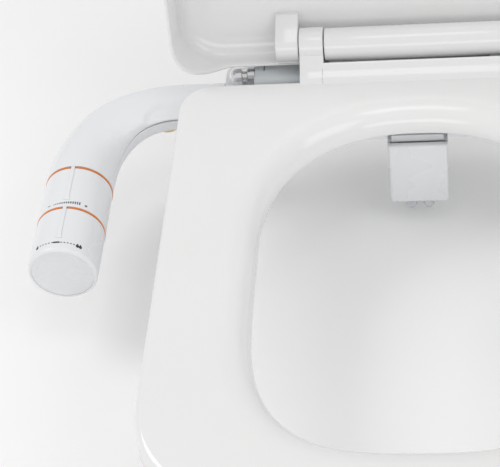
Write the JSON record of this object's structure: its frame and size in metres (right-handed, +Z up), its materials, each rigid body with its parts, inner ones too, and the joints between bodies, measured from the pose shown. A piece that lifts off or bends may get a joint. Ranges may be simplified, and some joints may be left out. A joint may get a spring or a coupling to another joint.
{
  "type": "bidet toilet seat",
  "caption": "Square-backed toilet seat with wrap-over lid and a slim water-powered washing unit under it: side handle with turning sleeves, sliding nozzles and a nozzle flap.",
  "frame": {"origin": "on the underside of the base plate, which lies on the bowl's rim, midway between the two mounting bolts", "axes": "+Z up, +X to the right of someone facing the bowl, -Y to the front of the seat"},
  "size_m": [0.4721, 0.5268, 0.5654],
  "materials": {
    "white_plastic": "gloss white",
    "arm_plastic": "gloss white with a blue cast",
    "pale_plastic": "satin pale grey",
    "orange_plastic": "orange",
    "chrome": "polished",
    "steel": "plain",
    "brass": "machined",
    "rubber": "pale grey",
    "dark_rubber": "black",
    "clear_tube": "milky, part transparent"
  },
  "bodies": {
    "fixed_frame": {"adjuster_disc_left": "steel", "adjuster_disc_right": "steel", "arm_lower_shell": "arm_plastic", "arm_upper_shell": "arm_plastic", "base_cover": "arm_plastic", "base_plate": "arm_plastic", "cover_screw_left": "steel", "cover_screw_right": "steel", "guard_pin": "steel", "hinge_bar": "white_plastic", "hinge_foot_left": "pale_plastic", "hinge_foot_right": "pale_plastic", "inlet_spigot": "brass", "inlet_strainer": "steel", "lid_damper_body": "pale_plastic", "mode_seal": "dark_rubber", "mounting_bolt_left": "steel", "mounting_bolt_right": "steel", "nozzle_hose_front": "clear_tube", "nozzle_hose_rear": "clear_tube", "nozzle_housing": "pale_plastic", "nozzle_manifold": "pale_plastic", "nozzle_spring_left": "steel", "nozzle_spring_right": "steel", "pressure_seal": "dark_rubber", "release_collar_left": "steel", "release_collar_right": "steel", "rubber_washer_left": "dark_rubber", "rubber_washer_right": "dark_rubber", "seat_damper_body": "pale_plastic", "valve_body": "pale_plastic", "wing_nut_left": "pale_plastic", "wing_nut_right": "pale_plastic"},
    "seat": {"seat_ring": "white_plastic", "seat_bumper_back_left": "rubber", "seat_bumper_back_right": "rubber", "seat_bumper_front_left": "rubber", "seat_bumper_front_right": "rubber", "seat_bush": "pale_plastic", "seat_damper_rotor": "steel"},
    "lid": {"lid_shell": "white_plastic", "lid_bumper_left": "rubber", "lid_bumper_right": "rubber", "lid_bush": "pale_plastic", "lid_damper_rotor": "steel"},
    "pressure_control": {"pressure_sleeve": "arm_plastic", "pressure_accent_ring": "orange_plastic", "pressure_rotor": "pale_plastic"},
    "mode_control": {"mode_sleeve": "arm_plastic", "mode_accent_ring": "orange_plastic", "mode_rotor": "pale_plastic", "handle_end_cap": "arm_plastic"},
    "guard": {"nozzle_guard": "white_plastic"},
    "left_nozzle": {"nozzle_left": "clear_tube"},
    "right_nozzle": {"nozzle_right": "clear_tube"},
    "left_button": {"release_button_left": "chrome"},
    "right_button": {"release_button_right": "chrome"}
  },
  "joints": [
    {"name": "lid_hinge", "type": "hinge", "parent": "fixed_frame", "child": "lid", "pos_m": [0, 0, 0.0448], "axis": [1, 0, 0], "range_deg": [0, 103]},
    {"name": "seat_hinge", "type": "hinge", "parent": "fixed_frame", "child": "seat", "pos_m": [0, 0, 0.0448], "axis": [1, 0, 0], "range_deg": [-95, 0]},
    {"name": "pressure_turn", "type": "hinge", "parent": "fixed_frame", "child": "pressure_control", "pos_m": [-0.2605, -0.12, -0.0116], "axis": [0, 1, 0], "range_deg": [-60, 60]},
    {"name": "mode_turn", "type": "hinge", "parent": "fixed_frame", "child": "mode_control", "pos_m": [-0.2605, -0.16, -0.0116], "axis": [0, 1, 0], "range_deg": [-45, 45]},
    {"name": "guard_flip", "type": "hinge", "parent": "fixed_frame", "child": "guard", "pos_m": [0, -0.0635, -0.0077], "axis": [1, 0, 0], "range_deg": [-70, 0]},
    {"name": "left_nozzle_slide", "type": "slide", "parent": "fixed_frame", "child": "left_nozzle", "axis": [0, 0, -1], "range_m": [0, 0.022], "stiffness_N_per_m": 60, "springref_m": -0.02, "deforming": ["nozzle_spring_left"]},
    {"name": "right_nozzle_slide", "type": "slide", "parent": "fixed_frame", "child": "right_nozzle", "axis": [0, 0, -1], "range_m": [0, 0.022], "stiffness_N_per_m": 60, "springref_m": -0.02, "deforming": ["nozzle_spring_right"]},
    {"name": "left_button_press", "type": "slide", "parent": "fixed_frame", "child": "left_button", "axis": [1, 0, 0], "range_m": [0, 0.003], "stiffness_N_per_m": 300, "springref_m": -0.003},
    {"name": "right_button_press", "type": "slide", "parent": "fixed_frame", "child": "right_button", "axis": [-1, 0, 0], "range_m": [0, 0.003], "stiffness_N_per_m": 300, "springref_m": -0.003}
  ]
}
